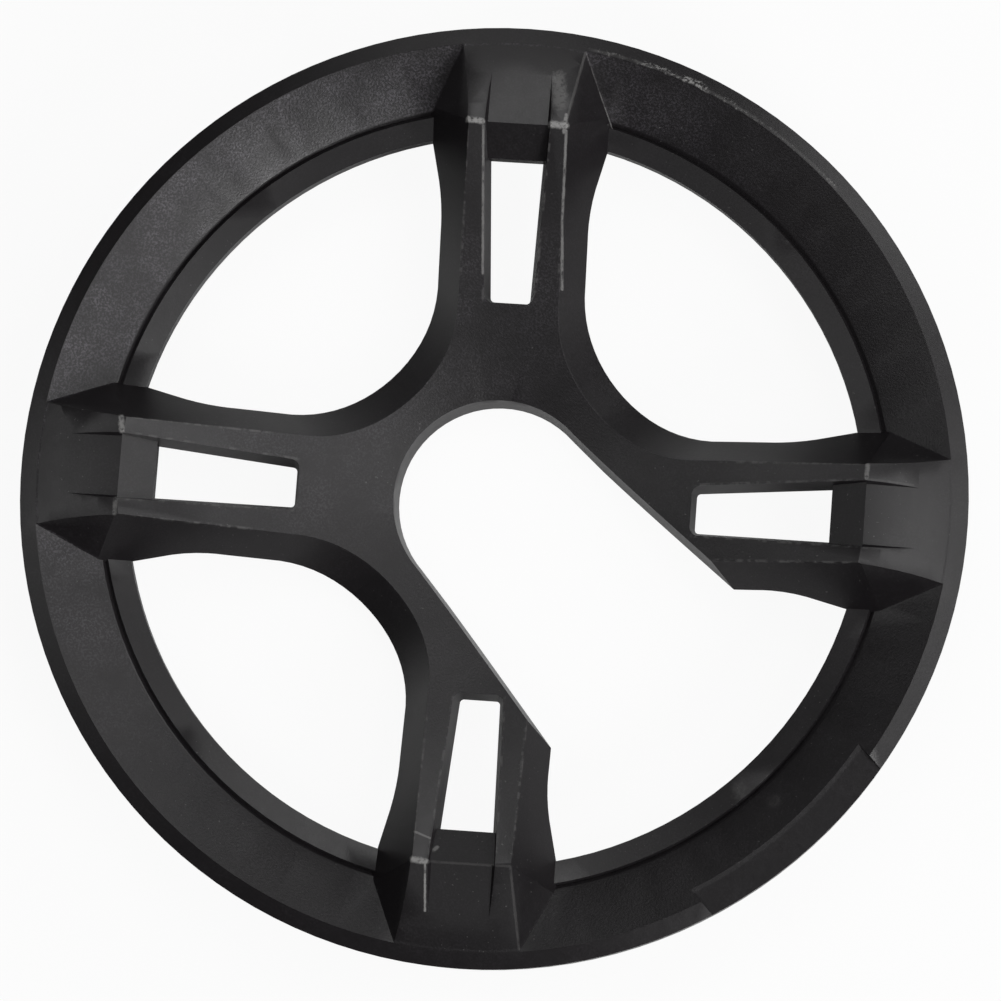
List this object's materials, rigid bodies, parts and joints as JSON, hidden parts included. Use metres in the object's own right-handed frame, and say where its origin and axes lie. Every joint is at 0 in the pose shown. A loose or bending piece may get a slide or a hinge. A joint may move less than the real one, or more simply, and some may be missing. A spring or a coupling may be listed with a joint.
{
  "type": "chainring guard",
  "caption": "Round moulded chainring guard with hollow spokes, a conical rim and a keyhole opening for the crank.",
  "frame": {"origin": "on the axis of the guard, in the plane of the rim's back face, which also holds the ends of the screw bosses", "axes": "+Z along the axis, out of the front; the spokes lie along X and Y; the mouth for the crank arm opens half way between +X and -Y"},
  "size_m": [0.185, 0.185, 0.0252],
  "materials": {
    "shell": "moulded charcoal plastic, fine grain on the rim and hub, satin on the spokes, rubbed pale at the high edges"
  },
  "bodies": {
    "root": {"guard": "shell"}
  },
  "joints": []
}
